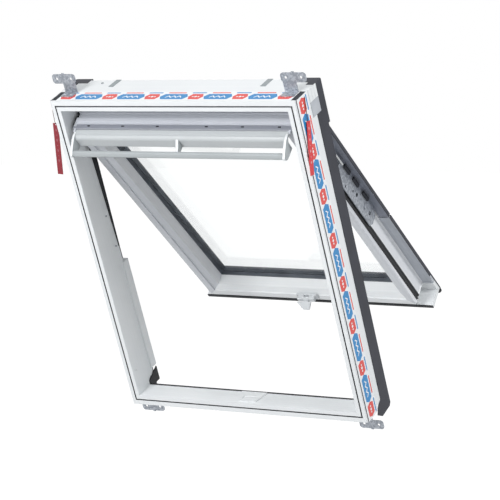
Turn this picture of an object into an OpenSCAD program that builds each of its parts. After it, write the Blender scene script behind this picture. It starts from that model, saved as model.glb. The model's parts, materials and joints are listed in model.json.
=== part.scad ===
// Roof skylight: fixed frame, turning arms, glazed sash, latch lever and ventilation flap.
// Every module draws in window axes (x across, y down the slope, z outwards) and one placement tilts it.

/* [Window] */
// outside width of the fixed frame
frame_w = 780; // [640:10:1140]
// outside height of the fixed frame along the slope
frame_h = 980; // [800:10:1400]
// roof pitch that the window is shown at
pitch = 65; // [15:1:85]
// angle the sash stands open at rest
open_angle = 30; // [5:1:40]

/* [Frame members] */
// width of the room-side face
face_w = 30; // [28:0.5:36]
// depth of the members up to the rebate
body_d = 66; // [54:0.5:80]
// width of the rebate step beside the jamb wall
rebate_w = 6; // [5.5:0.5:8]
// height of the jamb wall above the rebate
wall_d = 36; // [30:0.5:44]
// height of the head wall above the rebate
head_d = 14; // [10:0.5:18]
// distance of the lining groove from the outer edge
groove_at = 14; // [10:1:18]
// width of the lining groove
groove_w = 4; // [2:0.5:5]
// depth of the lining groove
groove_d = 14; // [4:1:16]
// depth where the foam collar starts
collar_start = 6; // [4:1:12]
// distance from the end of the foam collar to the rebate
collar_end = 4; // [3:0.5:8]
// recess that holds the foam and its cover tape
collar_t = 4; // [3:0.5:6]
// thickness of the cover tape
tape_t = 0.6; // [0.4:0.1:1]
// length of bare foam at the ends of the head and sill strips
tape_gap = 18; // [6:1:24]
// length of the rubber wedges in the lower corners
wedge_l = 60; // [50:1:70]

/* [Covers] */
// sheet thickness of the dark claddings
clad_t = 1.5; // [1:0.1:2]
// height of the side cladding above the jamb wall
clad_top = 35; // [30:1:40]
// length of the upper corner covers along the slope
cover_l = 126; // [110:1:150]
// height of the corner covers above the jamb wall
cover_top = 46; // [42:1:54]
// width of the corner covers along the head
corner_w = 55; // [45:1:70]
// height of the head cover above the jamb wall
head_top = 38; // [34:1:42]
// reach of the head cover down the slope
head_reach = 36; // [28:1:37]
// wall thickness of the head cover
head_t = 3; // [2:0.5:4]
// width of the clips across the head cover
clip_w = 15; // [8:1:24]
// distance of the clips from the frame sides
clip_at = 140; // [90:1:220]

/* [Brackets] */
// spacing of the two holes in a bracket
ear_pitch = 46; // [40:1:52]
// hole radius in the bracket ears
ear_hole_r = 4; // [2.5:0.25:6]
// distance of the bracket holes from the frame edge
ear_reach = 42; // [36:1:50]
// corner radius of the bracket ears
ear_r = 9; // [6:0.5:11]
// width of the bracket foot
foot_w = 40; // [32:1:46]
// sheet thickness of the brackets
bracket_t = 2.5; // [2:0.1:3]

/* [Arms] */
// thickness of the arm plates
arm_t = 3; // [2.5:0.1:4]
// length of the arm plate above the mid-height pivot
plate_up = 172; // [140:1:190]
// length of the arm plate below the mid-height pivot
plate_down = 66; // [50:1:80]
// half width of the arm plate
plate_r = 27; // [24:0.5:30]
// length of the pads on the arms
pad_l = 38; // [24:1:44]
// length of the rods on the arms
rod_l = 48; // [30:1:60]
// radius of the mid-height pivot pins
pivot_r = 8; // [6:0.5:10]
// radius of the top hinge pins
hinge_r = 5; // [4:0.5:6]
// running clearance of pins in their holes
run_gap = 0.05; // [0.02:0.01:0.1]

/* [Sash] */
// gap between sash and frame opening at the sides
side_gap = 10; // [9:0.5:12]
// depth of the sash face below the rebate
sash_drop = 13; // [10:0.5:16]
// width of the sash members
member_w = 40; // [38:1:48]
// thickness of one glass pane
pane_t = 4; // [3:0.5:5]
// thickness of the glazing spacer
spacer_t = 16; // [13:0.5:19]
// depth of the black gasket beside the inner pane
gasket_d = 12; // [6:0.5:16]
// width of the dark claddings on the sash
clad_w = 36; // [30:1:42]
// reach of the seals beside the stiles
seal_w = 4; // [2:0.5:5]

/* [Latch and ventilation] */
// width of the latch housing
latch_w = 68; // [50:1:90]
// length of the latch lever from its pin
lever_l = 33; // [26:1:36]
// width of the striker plate
striker_w = 84; // [60:1:110]
// radius of the hollow in the ventilation flap
flap_r = 34; // [31:0.5:38]
// thickness of the flap
flap_t = 2.5; // [2:0.1:3]

/* [Hidden] */
$fn = 48;
eps = 1;
white = [0.93, 0.93, 0.95];
dark = [0.25, 0.26, 0.29];
black = [0.09, 0.09, 0.1];
steel = [0.66, 0.68, 0.7];
// depths, from the room outwards
mount_n = body_d - 10;
collar_n = body_d - collar_end;
sash_n = body_d - sash_drop;
head_n = body_d + head_d;
drip_n = body_d + 4;
wall_n = body_d + wall_d;
skirt_n = wall_n - 12;
skin_n = wall_n + 11;
post_n = wall_n + 16;
clad_top_n = wall_n + clad_top;
head_top_n = wall_n + head_top;
cover_top_n = wall_n + cover_top;
pivot_n = wall_n - 1;
seat_n = wall_n + 10;
hinge_n = wall_n + 22;
liner_n = wall_n + 26;
outer_n = seat_n + 2 * pane_t + spacer_t;
clad_n = outer_n + 3;
// places across the window
wall_w = face_w - rebate_w;
sash_x0 = face_w + side_gap;
sash_x1 = frame_w - sash_x0;
arm_x = face_w;
cover_x = sash_x0 - seal_w - 1;
edge_x = 3;
edge_in = edge_x + clad_t;
// places down the slope
sash_s0 = face_w + 14;
sash_s1 = frame_h - face_w - 8;
hinge_s = cover_l + 6;
pivot_s = frame_h / 2;
split_s = pivot_s + 100;
strip_s0 = pivot_s + 66;
drip_s0 = frame_h - 7;
drip_s1 = frame_h + 5;
wall_end = frame_h - 16;
wedge_s = frame_h - wedge_l;
cap_l = cover_l * 2 / 7;
house_l = cover_l * 5 / 8;
plate_s = pivot_s - plate_up;
// lug on the jamb wall and its play
lug_t = 4;
lug_r = 10;
pin_gap = 0.4;
// the jamb face ends behind the front edge of the foam
jamb_lip = collar_t - 1;
// screws of the brackets
bracket_x = 26;
foot_x = bracket_x + 14;
screw_n = mount_n - 16;
screw_dx = foot_w / 4;
screw_r = 2.15;
// glazing rebate in the sash
rim_w = 16;
glass_gap = 1;
gasket_t = 2;
// ventilation flap and latch, on the sash face
vent_s = sash_s0 + 4;
vent_n = sash_n - 6;
vent_c = [sash_s0, sash_n - flap_r - 7];
axle_r = 2.5;
latch_s = sash_s1 - 26;
latch_n = sash_n - 15;

// placements
module in_frame() {
  rotate([-pitch, 0, 0])
    translate([-frame_w / 2, -frame_h / 2, -mount_n])
      children();
}

module in_sash() {
  in_frame()
    translate([0, hinge_s, hinge_n])
      rotate([open_angle, 0, 0])
        translate([0, -hinge_s, -hinge_n])
          children();
}

// side 0 is the left side, side 1 its mirror image
module side(i) {
  if (i == 0)
    children();
  else
    translate([frame_w, 0, 0])
      mirror([1, 0, 0])
        children();
}

module both() {
  for (i = [0, 1])
    side(i)
      children();
}

// mirror image at the lower end of a piece that ends at s
module flipped(s) {
  translate([0, s, 0])
    mirror([0, 1, 0])
      children();
}

// profile in x and depth, drawn along the slope
module along_s(s0, s1) {
  translate([0, s1, 0])
    rotate([90, 0, 0])
      linear_extrude(s1 - s0)
        children();
}

// profile in slope and depth, drawn across the window
module along_x(x0, x1) {
  translate([x0, 0, 0])
    rotate([90, 0, 90])
      linear_extrude(x1 - x0)
        children();
}

module along_n(n0, n1) {
  translate([0, 0, n0])
    linear_extrude(n1 - n0)
      children();
}

module block(x0, x1, s0, s1, n0, n1) {
  translate([x0, s0, n0])
    cube([x1 - x0, s1 - s0, n1 - n0]);
}

// round bar across the window, from x0 to x1
module rod_x(x0, x1, s, n, r) {
  translate([x0, s, n])
    rotate([0, 90, 0])
      cylinder(r = r, h = x1 - x0);
}

// round bar along the slope, from s0 to s1
module rod_s(x, s0, s1, n, r) {
  translate([x, s1, n])
    rotate([90, 0, 0])
      cylinder(r = r, h = s1 - s0);
}

// plan of a mitred side member between the corners of a rectangle
module plan_side(x0, s0, s1, d) {
  polygon([[x0 - eps, s0 - eps], [x0 + d, s0 + d], [x0 + d, s1 - d], [x0 - eps, s1 + eps]]);
}

module plan_top(x0, x1, s0, d) {
  polygon([[x0 - eps, s0 - eps], [x1 + eps, s0 - eps], [x1 - d, s0 + d], [x0 + d, s0 + d]]);
}

// frame section: first number from the outer face, second from the room side
function frame_pts(lip) = [[lip, 0], [groove_at, 0], [groove_at, groove_d], [groove_at + groove_w, groove_d],
  [groove_at + groove_w, 0], [face_w, 0], [face_w, body_d - 3], [face_w - 2, body_d],
  [0, body_d], [0, collar_n], [collar_t, collar_n], [collar_t, collar_start], [lip, collar_start]];
mitre = 2 * face_w;

module screw_holes() {
  for (x = [foot_x - screw_dx, foot_x + screw_dx])
    both()
      for (s0 = [-6, frame_h - 24])
        rod_s(x, s0, s0 + 30, screw_n, screw_r + run_gap);
}

module jamb() {
  difference() {
    union() {
      intersection() {
        along_s(-eps, frame_h + eps)
          polygon(frame_pts(jamb_lip));
        along_n(-eps, body_d + eps)
          plan_side(0, 0, frame_h, mitre);
      }
      block(0, wall_w, 0, wall_end, body_d, wall_n);
      block(2, wall_w - 2, mitre, frame_h - mitre, body_d - 4, body_d + 4);
    }
    rod_x(face_w - 5, face_w + eps, frame_h - 107, 17, 2.5);
  }
}

module frame_jamb_left() {
  color(white)
    in_frame()
      jamb();
}

module frame_jamb_right() {
  color(white)
    in_frame()
      side(1)
        jamb();
}

module head_member() {
  difference() {
    intersection() {
      along_x(-eps, frame_w + eps)
        polygon(frame_pts(0));
      along_n(-eps, body_d + eps)
        plan_top(0, frame_w, 0, mitre);
    }
    both()
      block(-2 * eps, jamb_lip, -2 * eps, mitre, -eps, collar_start);
  }
}

module frame_head() {
  color(white)
    in_frame()
      difference() {
        union() {
          head_member();
          block(wall_w, frame_w - wall_w, 0, wall_w, body_d - 3, head_n);
          both()
            block(wall_w, corner_w, 0, wall_w, head_n - 3, post_n);
        }
        screw_holes();
      }
}

module frame_sill() {
  color(white)
    in_frame()
      difference() {
        flipped(frame_h)
          head_member();
        screw_holes();
      }
}

module ring(inset0, inset1, n0, n1) {
  along_n(n0, n1)
    difference() {
      translate([inset0, inset0])
        square([frame_w - 2 * inset0, frame_h - 2 * inset0]);
      translate([inset1, inset1])
        square([frame_w - 2 * inset1, frame_h - 2 * inset1]);
    }
}

module foam_collar() {
  color([0.3, 0.31, 0.33])
    in_frame()
      difference() {
        ring(tape_t, collar_t, collar_start, collar_n);
        screw_holes();
      }
}

// one strip of tape on each side; the foam is bare at the ends of the head and sill
module cover_tape() {
  color([0.95, 0.96, 0.98])
    in_frame()
      difference() {
        union() {
          both()
            block(0, tape_t, 0, frame_h, collar_start, collar_n);
          block(tape_gap, frame_w - tape_gap, 0, tape_t, collar_start, collar_n);
          flipped(frame_h)
            block(tape_gap, frame_w - tape_gap, 0, tape_t, collar_start, collar_n);
        }
        screw_holes();
      }
}

module head_cover() {
  color(white)
    in_frame()
      along_x(corner_w, frame_w - corner_w)
        polygon([[0, head_n], [wall_w, head_n], [wall_w, head_n + head_t], [head_t, head_n + head_t],
          [head_t, head_top_n - head_t], [head_reach, head_top_n - head_t], [head_reach, head_top_n],
          [2, head_top_n], [0, head_top_n - 2]]);
}

// strip folded round the outer corner of the head cover
module head_clips() {
  clip_t = 1.5;
  color([0.6, 0.61, 0.64])
    in_frame()
      both()
        along_x(clip_at, clip_at + clip_w)
          polygon([[-clip_t, head_n + 14], [0, head_n + 14], [0, head_top_n - 2], [2, head_top_n],
            [head_reach - 6, head_top_n], [head_reach - 6, head_top_n + clip_t],
            [1, head_top_n + clip_t], [-clip_t, head_top_n - 1]]);
}

// cap over the upper corner with a skin that runs on down the side
module corner_cover() {
  inner_x = wall_w - 2;
  along_s(0, hinge_s - 16)
    polygon([[-clad_t, skin_n], [0, skin_n], [0, wall_n], [inner_x, wall_n], [inner_x, cover_top_n],
      [3, cover_top_n], [-clad_t, cover_top_n - 3]]);
  block(-clad_t, 0, 4, cover_l, skin_n, cover_top_n - 3);
  block(inner_x - 4, corner_w, 0, head_reach + 2, post_n, cover_top_n);
}

module corner_cover_left() {
  color(dark)
    in_frame()
      corner_cover();
}

module corner_cover_right() {
  color(dark)
    in_frame()
      side(1)
        corner_cover();
}

// flat sheet on the outer side, stepped under the corner cover, with a toe over the lower corner
module side_cladding() {
  along_x(-clad_t, 0)
    polygon([[house_l, skirt_n], [wall_end - 6, skirt_n - 2], [wall_end + 2, body_d + 4],
      [frame_h + 10, mount_n - 1], [frame_h + 28, skirt_n - 10],
      [frame_h + 24, clad_top_n - 8], [frame_h + 16, clad_top_n], [cover_l, clad_top_n],
      [cover_l, skin_n], [house_l, skin_n]]);
}

module side_cladding_left() {
  color(dark)
    in_frame()
      side_cladding();
}

module side_cladding_right() {
  color(dark)
    in_frame()
      side(1)
        side_cladding();
}

// ribbed plate over the upper end of the jamb wall
module corner_caps() {
  rib_n = (skin_n - body_d) / 3;
  groove_t = clad_t / 2;
  color(white)
    in_frame()
      both()
        difference() {
          block(-clad_t, 0, 0, cap_l, body_d + 2, skin_n);
          for (k = [1, 2])
            block(-clad_t - eps, -groove_t, -eps, cap_l + eps, body_d + k * rib_n, body_d + k * rib_n + 3);
        }
}

module hinge_housings() {
  color([0.74, 0.75, 0.77])
    in_frame()
      both()
        block(-clad_t, 0, cap_l, house_l, body_d + 2, skin_n);
}

// flange in the roof plane with rounded corners and a small tab on its edge
module ears() {
  half_x = ear_pitch / 2 + 15;
  half_s = 14;
  translate([bracket_x, -ear_reach, mount_n]) {
    block(-half_x + ear_r, half_x - ear_r, -half_s, half_s, 0, bracket_t);
    block(-half_x, half_x, -half_s + ear_r, half_s - ear_r, 0, bracket_t);
    for (x = [-half_x + ear_r, half_x - ear_r])
      for (s = [-half_s + ear_r, half_s - ear_r])
        translate([x, s, 0])
          cylinder(r = ear_r, h = bracket_t);
    block(-4, 4, -half_s - 3, 0, 0, bracket_t);
  }
}

module bracket() {
  difference() {
    union() {
      block(foot_x - foot_w / 2, foot_x + foot_w / 2, -bracket_t, 0, mount_n - 28, mount_n + 1);
      block(foot_x - foot_w / 2, foot_x + foot_w / 2, -ear_reach, 0, mount_n, mount_n + bracket_t);
      ears();
    }
    for (x = [bracket_x - ear_pitch / 2, bracket_x + ear_pitch / 2])
      translate([x, -ear_reach, mount_n - eps])
        cylinder(r = ear_hole_r, h = bracket_t + 2 * eps);
    screw_holes();
  }
}

module bracket_upper_left() {
  color(steel)
    in_frame()
      bracket();
}

module bracket_upper_right() {
  color(steel)
    in_frame()
      side(1)
        bracket();
}

module bracket_lower_left() {
  color(steel)
    in_frame()
      flipped(frame_h)
        bracket();
}

module bracket_lower_right() {
  color(steel)
    in_frame()
      side(1)
        flipped(frame_h)
          bracket();
}

module bracket_screw(x) {
  rod_s(x, -bracket_t - 2.5, -bracket_t, screw_n, 4);
  rod_s(x, -bracket_t - 1, 20, screw_n, screw_r);
}

module bracket_screws() {
  color(steel)
    in_frame()
      both()
        for (x = [foot_x - screw_dx, foot_x + screw_dx]) {
          bracket_screw(x);
          flipped(frame_h)
            bracket_screw(x);
        }
}

// lip on the rebate of the sill that leans over its inner edge
module sill_seal() {
  color(black)
    in_frame()
      flipped(frame_h - face_w)
        along_x(face_w, frame_w - face_w)
          polygon([[-2.5, body_d], [-11, body_d], [-9, drip_n], [0.5, drip_n], [0.5, drip_n - 1.5]]);
}

// tapered lip on the inner side of the jamb wall, upper half
module jamb_seals() {
  top_s = hinge_s + lug_r + 8;
  color(black)
    in_frame()
      both()
        along_x(wall_w, wall_w + 3)
          polygon([[top_s, wall_n - 18], [pivot_s + 16, wall_n - 2], [pivot_s + 16, wall_n],
            [top_s, wall_n + 6]]);
}

module jamb_strip() {
  strip_n = wall_n + 19;
  along_s(strip_s0, wedge_s - 8)
    polygon([[wall_w, wall_n - 8], [wall_w + 5, wall_n - 8], [wall_w + 5, strip_n],
      [wall_w - 12, strip_n], [wall_w - 12, wall_n], [wall_w, wall_n]]);
}

module jamb_strip_left() {
  color(white)
    in_frame()
      jamb_strip();
}

module jamb_strip_right() {
  color(white)
    in_frame()
      side(1)
        jamb_strip();
}

module jamb_screws() {
  color(steel)
    in_frame()
      both()
        for (k = [0, 1])
          rod_x(wall_w, wall_w + 1.5, pivot_s - 92 + 101 * k, wall_n - 22 + 8 * k, 3);
}

// stepped rubber piece that closes the lower end of the jamb
module corner_wedges() {
  wedge_n = wall_n + 18;
  color(black)
    in_frame()
      both()
        along_x(wall_w, wall_w + 4)
          polygon([[wedge_s, wedge_n], [wedge_s + 8, wall_n + 2], [wedge_s + 4, wall_n],
            [wedge_s + 17, wall_n - 14], [wedge_s + 13, wall_n - 16], [wedge_s + 26, body_d],
            [wall_end, body_d], [wall_end, wedge_n]]);
}

// tapered plate on the sill with a pocket for the latch
module striker_plate() {
  plate_t = 3;
  front = frame_h - face_w - plate_t;
  color(white)
    in_frame()
      difference() {
        flipped(frame_h - face_w)
          translate([frame_w / 2, plate_t, 0])
            rotate([90, 0, 0])
              linear_extrude(plate_t)
                polygon([[-striker_w / 3, body_d - 54], [striker_w / 3, body_d - 54],
                  [striker_w / 2, body_d - 8], [striker_w / 2, body_d - 4],
                  [-striker_w / 2, body_d - 4], [-striker_w / 2, body_d - 8]]);
        block((frame_w - striker_w / 2) / 2, (frame_w + striker_w / 2) / 2, front - eps, front + 2,
          body_d - 44, body_d - 28);
      }
}

// plate on the jamb wall with the hinge pin
module hinge_lugs() {
  pin_end = arm_x + arm_t + 2;
  color(steel)
    in_frame()
      both() {
        block(wall_w, wall_w + lug_t, hinge_s - lug_r, hinge_s + lug_r, wall_n - 22, hinge_n);
        rod_x(wall_w, wall_w + lug_t, hinge_s, hinge_n, lug_r);
        rod_x(wall_w + 1, pin_end, hinge_s, hinge_n, hinge_r);
        rod_x(arm_x + arm_t + pin_gap, pin_end, hinge_s, hinge_n, hinge_r + 2.5);
      }
}

// thin cord through a list of points
cord_n = 8;
cord_r = 0.8;
function cord_ring(p) = [for (i = [0:cord_n - 1])
  [p[0] + cord_r * cos(360 * i / cord_n), p[1], p[2] + cord_r * sin(360 * i / cord_n)]];
module cord(pts) {
  last = len(pts) - 1;
  points = [for (p = pts) each cord_ring(p)];
  walls = [for (j = [0:last - 1]) for (i = [0:cord_n - 1])
    let (a = j * cord_n + i, b = j * cord_n + (i + 1) % cord_n)
    [a, b, b + cord_n, a + cord_n]];
  first_cap = [for (i = [cord_n - 1:-1:0]) i];
  last_cap = [for (i = [0:cord_n - 1]) last * cord_n + i];
  polyhedron(points, concat([first_cap], walls, [last_cap]), convexity = 4);
}

// string from the edge of the tape down to its tag
left_string = [[-1, 6, 14], [-3, 12, 13], [-5, 20, 13], [-8, 31, 15], [-12, 42, 18], [-16, 54, 22],
  [-20, 66, 26], [-23, 76, 29], [-25, 84, 30.8]];
right_string = [[-1, 8, 46], [-1.2, 16, 44.5], [-1.4, 26, 42.5], [-1.6, 38, 40], [-1.8, 50, 37.5],
  [-2, 62, 35.5], [-2, 69, 34.6], [-2, 76, 33.8]];

module pull_string_left() {
  color([0.35, 0.2, 0.2])
    in_frame()
      cord(left_string);
}

module pull_string_right() {
  color([0.45, 0.3, 0.25])
    in_frame()
      side(1)
        cord(right_string);
}

module tag(length, width) {
  difference() {
    translate([-width / 2, 0, 0])
      cube([width, length, 0.8]);
    translate([0, 4, -eps])
      cylinder(r = 1.6, h = 3);
  }
}

module pull_tag_left() {
  color([0.7, 0.12, 0.16])
    in_frame()
      translate([-24.5, 82, 32])
        rotate([-9, 0, 5])
          tag(150, 18);
}

module pull_tag_right() {
  color([0.9, 0.16, 0.16])
    in_frame()
      side(1)
        translate([-2.9, 72.6, 34.7])
          rotate([-16.2, 0, 0])
            rotate([0, -90, 0])
              tag(144, 20);
}

// arm: neck from the top hinge, wide plate round the mid-height pivot
module arm_plate() {
  low_n = pivot_n - plate_r;
  end_s = pivot_s + plate_down;
  rod_x(arm_x, arm_x + arm_t, hinge_s, hinge_n, lug_r);
  block(arm_x, arm_x + arm_t, hinge_s, plate_s + 2, hinge_n - 9, liner_n);
  rod_x(arm_x, arm_x + arm_t, plate_s, pivot_n, plate_r);
  along_x(arm_x, arm_x + arm_t)
    polygon([[plate_s, low_n], [end_s - 10, low_n], [end_s, low_n + 12], [end_s, liner_n - 14],
      [end_s - 12, liner_n - 8], [end_s - 12, liner_n], [plate_s, liner_n]]);
}

module arm_hole(s, n, r) {
  rod_x(arm_x - eps, arm_x + arm_t + eps, s, n, r);
}

module arm() {
  difference() {
    arm_plate();
    arm_hole(hinge_s, hinge_n, hinge_r + run_gap);
    arm_hole(pivot_s, pivot_n, pivot_r + run_gap);
    arm_hole(pivot_s - plate_up / 2, pivot_n - 4, 3.5);
    arm_hole(pivot_s - plate_up * 3 / 4, pivot_n - 17, 3.5);
    arm_hole(pivot_s - 61, pivot_n, 6);
    arm_hole(pivot_s + plate_down / 2, pivot_n, 6);
  }
}

module arm_left() {
  color(steel)
    in_sash()
      arm();
}

module arm_right() {
  color(steel)
    in_sash()
      side(1)
        arm();
}

// dark sheet over the upper half, folded down at its outer edge
module arm_cover() {
  along_s(hinge_s - 2, split_s - 7)
    polygon([[edge_x, liner_n], [edge_in, liner_n], [edge_in, outer_n], [cover_x, outer_n],
      [cover_x, clad_n], [edge_x, clad_n]]);
}

module arm_cover_left() {
  color(dark)
    in_sash()
      arm_cover();
}

module arm_cover_right() {
  color(dark)
    in_sash()
      side(1)
        arm_cover();
}

module arm_liners() {
  color([0.62, 0.63, 0.7])
    in_sash()
      both()
        difference() {
          block(edge_in, cover_x, hinge_s - 2, split_s - 7, liner_n, outer_n);
          block(wall_w - 2, sash_x0, hinge_s - 3, hinge_s + 14, liner_n - eps, outer_n + eps);
        }
}

// plastic pads on the outer side of the arm, below the liner
module arm_pads() {
  color(black)
    in_sash()
      both()
        for (s = [plate_s, pivot_s - plate_up * 0.64, pivot_s - plate_up * 0.23])
          block(arm_x - 5, arm_x, s, s + pad_l, liner_n - 10, liner_n);
}

module arm_rods() {
  rod_end = plate_s - 12;
  rod_n = liner_n - 9;
  color([0.85, 0.85, 0.84])
    in_sash()
      both() {
        rod_s(arm_x - 3, rod_end - rod_l, rod_end, rod_n, 2.5);
        block(arm_x - 3, arm_x, rod_end - 8, rod_end, rod_n - 2.5, rod_n + 2.5);
      }
}

// sash section: first number from the outer face, second from the room-side face to the rim
rail_pts = [[0, sash_n], [22, sash_n], [22, sash_n + 5], [24, sash_n + 5], [member_w, sash_n + 13],
  [member_w, seat_n], [rim_w, seat_n], [rim_w, outer_n], [0, outer_n]];
stile_pts = concat(rail_pts, [[0, liner_n - 1], [3, liner_n - 4], [3, sash_n + 36], [0, sash_n + 33]]);
top_pts = concat(rail_pts, [[0, sash_n + 54], [4, sash_n + 51], [4, sash_n + 39], [0, sash_n + 37],
  [0, sash_n + 25], [3, sash_n + 23], [3, sash_n + 17], [5, sash_n + 17], [5, sash_n + 7], [0, sash_n + 7]]);
sash_mitre = member_w + 20;

module stile() {
  difference() {
    intersection() {
      translate([sash_x0, 0, 0])
        along_s(sash_s0 - eps, sash_s1 + eps)
          polygon(stile_pts);
      along_n(0, 2 * outer_n)
        plan_side(sash_x0, sash_s0, sash_s1, sash_mitre);
    }
    rod_x(sash_x0 - eps, sash_x0 + 20, pivot_s, pivot_n, pivot_r + run_gap);
  }
}

module sash_stile_left() {
  color(white)
    in_sash()
      stile();
}

module sash_stile_right() {
  color(white)
    in_sash()
      side(1)
        stile();
}

// oblong vent hole in the outer edge of the top rail
module vent_slot(x) {
  slot_n = sash_n + 12;
  slot_s = sash_s0 + 9;
  for (end_x = [x - 3, x + 3])
    rod_s(end_x, sash_s0, slot_s, slot_n, 2);
  block(x - 3, x + 3, sash_s0, slot_s, slot_n - 2, slot_n + 2);
}

// rail with bearings for the flap and a row of vent holes
module sash_top_rail() {
  color(white)
    in_sash()
      difference() {
        union() {
          intersection() {
            translate([0, sash_s0, 0])
              along_x(sash_x0 - eps, sash_x1 + eps)
                polygon(top_pts);
            along_n(0, 2 * outer_n)
              plan_top(sash_x0, sash_x1, sash_s0, sash_mitre);
          }
          both() {
            block(sash_x0 + 5, sash_x0 + 11, vent_s - 4, vent_s + 4, vent_n, sash_n);
            block(sash_x0 + 8, sash_x0 + 11, vent_s - 4, vent_s - 1, vent_n, sash_n + 2);
            rod_x(sash_x0 + 5, sash_x0 + 11, vent_s, vent_n, axle_r + 1.5);
          }
        }
        both() {
          rod_x(sash_x0 + 4, sash_x0 + 12, vent_s, vent_n, axle_r + run_gap);
          for (k = [0:2])
            vent_slot(frame_w / 2 - (k * 0.29 + 0.2) * frame_w / 2);
        }
      }
}

// rail with a flange over the sill and a drip edge
module sash_bottom_rail() {
  color(white)
    in_sash() {
      flipped(sash_s1)
        intersection() {
          along_x(sash_x0 - eps, sash_x1 + eps)
            polygon(rail_pts);
          along_n(0, 2 * outer_n)
            plan_top(sash_x0, sash_x1, 0, sash_mitre);
        }
      along_x(edge_in, frame_w - edge_in)
        polygon([[sash_s1, liner_n - 4], [drip_s0, liner_n - 4], [drip_s0, drip_n], [drip_s1, drip_n],
          [drip_s1, outer_n], [sash_s1, outer_n]]);
      block(sash_x0 + sash_mitre, sash_x1 - sash_mitre, sash_s1 - 8, sash_s1 + 8, liner_n - 3, outer_n - 1);
    }
}

module pane(n0, n1) {
  u = rim_w + glass_gap;
  block(sash_x0 + u, sash_x1 - u, sash_s0 + u, sash_s1 - u, n0, n1);
}

module glass_inner() {
  color([0.8, 0.9, 0.92, 0.3])
    in_sash()
      pane(seat_n, seat_n + pane_t);
}

module glass_outer() {
  color([0.8, 0.9, 0.92, 0.3])
    in_sash()
      pane(seat_n + pane_t + spacer_t, outer_n);
}

module sash_ring(u0, u1, n0, n1) {
  along_n(n0, n1)
    difference() {
      translate([sash_x0 + u0, sash_s0 + u0])
        square([sash_x1 - sash_x0 - 2 * u0, sash_s1 - sash_s0 - 2 * u0]);
      translate([sash_x0 + u1, sash_s0 + u1])
        square([sash_x1 - sash_x0 - 2 * u1, sash_s1 - sash_s0 - 2 * u1]);
    }
}

module glass_spacer() {
  color(black)
    in_sash()
      sash_ring(rim_w + 4, member_w + gasket_t, seat_n + pane_t, seat_n + pane_t + spacer_t);
}

// band round the glass on the inner sides of the members
module glazing_gasket() {
  color(black)
    in_sash()
      sash_ring(member_w, member_w + gasket_t, seat_n - gasket_d, seat_n);
}

module sash_cladding_top() {
  color(dark)
    in_sash()
      block(sash_x0, sash_x1, sash_s0, sash_s0 + clad_w, outer_n, clad_n);
}

module sash_cladding_bottom() {
  color(dark)
    in_sash()
      along_x(edge_x, frame_w - edge_x)
        polygon([[sash_s1 - clad_w, outer_n], [drip_s1, outer_n], [drip_s1, liner_n],
          [drip_s1 + clad_t, liner_n], [drip_s1 + clad_t, clad_n - 1], [drip_s1, clad_n],
          [sash_s1 - clad_w, clad_n]]);
}

// wide over the lower half, where it covers the frame, and folded down at its outer edge
module sash_cladding_side() {
  top_s = sash_s0 + clad_w;
  end_s = sash_s1 - clad_w;
  in_x = sash_x0 + clad_w;
  along_n(outer_n, clad_n)
    polygon([[sash_x0, top_s], [in_x, top_s], [in_x, end_s], [edge_x, end_s], [edge_x, split_s],
      [sash_x0, split_s]]);
  block(edge_x, edge_in, split_s, end_s, liner_n, clad_n);
}

module sash_cladding_left() {
  color(dark)
    in_sash()
      sash_cladding_side();
}

module sash_cladding_right() {
  color(dark)
    in_sash()
      side(1)
        sash_cladding_side();
}

module sash_liners() {
  color([0.62, 0.63, 0.7])
    in_sash()
      both()
        block(edge_in, sash_x0, split_s, sash_s1, liner_n, outer_n);
}

// seal with two lips along the stile, and a short one with three lips at its upper end
module stile_seals() {
  seal_n = sash_n + 22;
  end_l = 24;
  color(black)
    in_sash()
      both() {
        along_s(pivot_s - 133, sash_s1 - 6)
          polygon([[sash_x0, seal_n - 10], [sash_x0, seal_n + 10], [sash_x0 - seal_w / 2, seal_n + 9],
            [sash_x0 - seal_w, seal_n + 5], [sash_x0 - 1, seal_n + 1], [sash_x0 - 1, seal_n - 1],
            [sash_x0 - seal_w, seal_n - 5], [sash_x0 - seal_w / 2, seal_n - 9]]);
        along_s(sash_s0, sash_s0 + end_l)
          polygon([[sash_x0, seal_n - 14], [sash_x0, seat_n - 2], [sash_x0 - seal_w, seat_n - 6],
            [sash_x0 - seal_w / 2, seat_n - 14], [sash_x0 - seal_w, seal_n + 14],
            [sash_x0 - seal_w / 2, seal_n], [sash_x0 - seal_w, seal_n - 8]]);
      }
}

// lip under the room-side face and strip under the drip edge
module bottom_seals() {
  sill_gap = 0.8;
  color(black)
    in_sash() {
      along_x(sash_x0, sash_x1)
        polygon([[sash_s1, sash_n + 1], [sash_s1 + 3, sash_n + 2], [sash_s1 + 4, sash_n + 5],
          [sash_s1, sash_n + 7]]);
      block(edge_in, frame_w - edge_in, drip_s0 + 1, drip_s1 - 1, body_d + sill_gap, drip_n);
    }
}

// round rubber ends of the folded edge
module corner_plugs() {
  color(black)
    in_sash()
      both()
        rod_s(edge_x + 6, drip_s1 + clad_t, drip_s1 + clad_t + 8, liner_n + 4, 8);
}

// pin held in the stile, turning in the arm
module pivot_pins() {
  color(steel)
    in_sash()
      both() {
        rod_x(arm_x - 2, sash_x0 + 18, pivot_s, pivot_n, pivot_r);
        rod_x(arm_x + arm_t + pin_gap, sash_x0 + 3, pivot_s, pivot_n, pivot_r + 3.5);
      }
}

module latch_housing() {
  x0 = (frame_w - latch_w) / 2;
  x1 = (frame_w + latch_w) / 2;
  base_n = sash_n - 7;
  color(white)
    in_sash()
      difference() {
        union() {
          block(x0, x1, latch_s - 8, latch_s + 14, base_n, sash_n);
          block(x0 + 6, x1 - 6, latch_s - 6, latch_s + 8, latch_n - 5, base_n + 1);
        }
        block(frame_w / 2 - 9, frame_w / 2 + 9, latch_s - 9, latch_s + 15, latch_n - 40, base_n + 1);
        rod_x(frame_w / 2 - 16, frame_w / 2 + 16, latch_s, latch_n, axle_r + run_gap);
      }
}

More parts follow.
